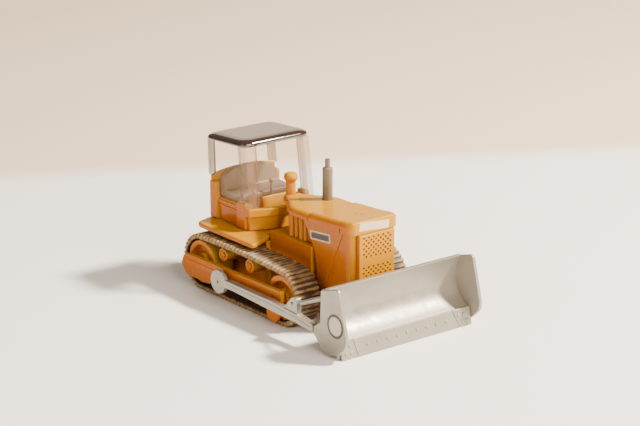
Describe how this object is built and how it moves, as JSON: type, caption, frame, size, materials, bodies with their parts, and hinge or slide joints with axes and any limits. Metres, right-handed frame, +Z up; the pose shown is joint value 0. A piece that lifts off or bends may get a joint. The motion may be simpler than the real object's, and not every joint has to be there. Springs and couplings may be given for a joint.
{
  "type": "toy bulldozer",
  "caption": "Small plastic crawler tractor with a glazed cab, rubber tracks on wheels and a straight blade on hinged push arms.",
  "frame": {"origin": "middle of the footprint, on the surface that the tracks stand on", "axes": "+X towards the blade, +Y to the driver's left, +Z up"},
  "size_m": [0.064, 0.038, 0.0359],
  "materials": {
    "orange_plastic": "glossy, slightly see-through moulded plastic",
    "silver_plastic": "satin silver-coloured moulded plastic",
    "grey_plastic": "satin",
    "brown_plastic": "high gloss",
    "clear_plastic": "clear, polished",
    "rubber": "matt, worn bright on the ribs",
    "steel": "drawn wire"
  },
  "bodies": {
    "tractor": {"chassis": "orange_plastic", "engine_block": "orange_plastic", "engine_hood": "orange_plastic", "radiator_grille": "orange_plastic", "exhaust_stack": "grey_plastic", "air_precleaner": "orange_plastic", "deck_plate": "orange_plastic", "cab_base": "orange_plastic", "cab_glazing": "clear_plastic", "cab_roof": "brown_plastic", "seat": "grey_plastic", "dashboard": "orange_plastic", "blade_lever": "grey_plastic", "steering_lever_left": "grey_plastic", "steering_lever_right": "grey_plastic", "drive_axle": "steel", "idler_axle": "steel", "track_belt_right": "rubber", "track_frame_right": "orange_plastic", "carrier_pin_rear_right": "orange_plastic", "carrier_pin_front_right": "orange_plastic", "track_belt_left": "rubber", "track_frame_left": "orange_plastic", "carrier_pin_rear_left": "orange_plastic", "carrier_pin_front_left": "orange_plastic"},
    "drive_wheel_right": {"drive_wheel_right": "orange_plastic"},
    "idler_wheel_right": {"idler_wheel_right": "orange_plastic"},
    "carrier_roller_rear_right": {"carrier_roller_rear_right": "orange_plastic"},
    "carrier_roller_front_right": {"carrier_roller_front_right": "orange_plastic"},
    "drive_wheel_left": {"drive_wheel_left": "orange_plastic"},
    "idler_wheel_left": {"idler_wheel_left": "orange_plastic"},
    "carrier_roller_rear_left": {"carrier_roller_rear_left": "orange_plastic"},
    "carrier_roller_front_left": {"carrier_roller_front_left": "orange_plastic"},
    "blade": {"blade_shell": "silver_plastic", "cutting_edge": "silver_plastic", "end_bit_right": "silver_plastic", "end_bit_left": "silver_plastic", "push_arm_right": "silver_plastic", "push_arm_left": "silver_plastic", "brace_strut_right": "silver_plastic", "brace_strut_left": "silver_plastic"}
  },
  "joints": [
    {"name": "blade_lift", "type": "hinge", "parent": "tractor", "child": "blade", "pos_m": [-0.01359, 0, 0.0058], "axis": [0, -1, 0], "range_deg": [-4, 16]},
    {"name": "drive_spin_right", "type": "hinge", "parent": "tractor", "child": "drive_wheel_right", "pos_m": [-0.02544, 0, 0.0066], "axis": [0, 1, 0], "continuous": true},
    {"name": "idler_spin_right", "type": "hinge", "parent": "tractor", "child": "idler_wheel_right", "pos_m": [0.00476, 0, 0.00645], "axis": [0, 1, 0], "continuous": true},
    {"name": "carrier_spin_rear_right", "type": "hinge", "parent": "tractor", "child": "carrier_roller_rear_right", "pos_m": [-0.01749, 0, 0.01025], "axis": [0, 1, 0], "continuous": true},
    {"name": "carrier_spin_front_right", "type": "hinge", "parent": "tractor", "child": "carrier_roller_front_right", "pos_m": [-0.00749, 0, 0.01025], "axis": [0, 1, 0], "continuous": true},
    {"name": "drive_spin_left", "type": "hinge", "parent": "tractor", "child": "drive_wheel_left", "pos_m": [-0.02544, 0, 0.0066], "axis": [0, 1, 0], "continuous": true},
    {"name": "idler_spin_left", "type": "hinge", "parent": "tractor", "child": "idler_wheel_left", "pos_m": [0.00476, 0, 0.00645], "axis": [0, 1, 0], "continuous": true},
    {"name": "carrier_spin_rear_left", "type": "hinge", "parent": "tractor", "child": "carrier_roller_rear_left", "pos_m": [-0.01749, 0, 0.01025], "axis": [0, 1, 0], "continuous": true},
    {"name": "carrier_spin_front_left", "type": "hinge", "parent": "tractor", "child": "carrier_roller_front_left", "pos_m": [-0.00749, 0, 0.01025], "axis": [0, 1, 0], "continuous": true}
  ],
  "couplings": [
    {"joint": "idler_spin_right", "follows": "drive_spin_right", "ratio": 1.02},
    {"joint": "carrier_spin_rear_right", "follows": "drive_spin_right", "ratio": 3.29},
    {"joint": "carrier_spin_front_right", "follows": "drive_spin_right", "ratio": 3.29},
    {"joint": "idler_spin_left", "follows": "drive_spin_left", "ratio": 1.02},
    {"joint": "carrier_spin_rear_left", "follows": "drive_spin_left", "ratio": 3.29},
    {"joint": "carrier_spin_front_left", "follows": "drive_spin_left", "ratio": 3.29}
  ]
}
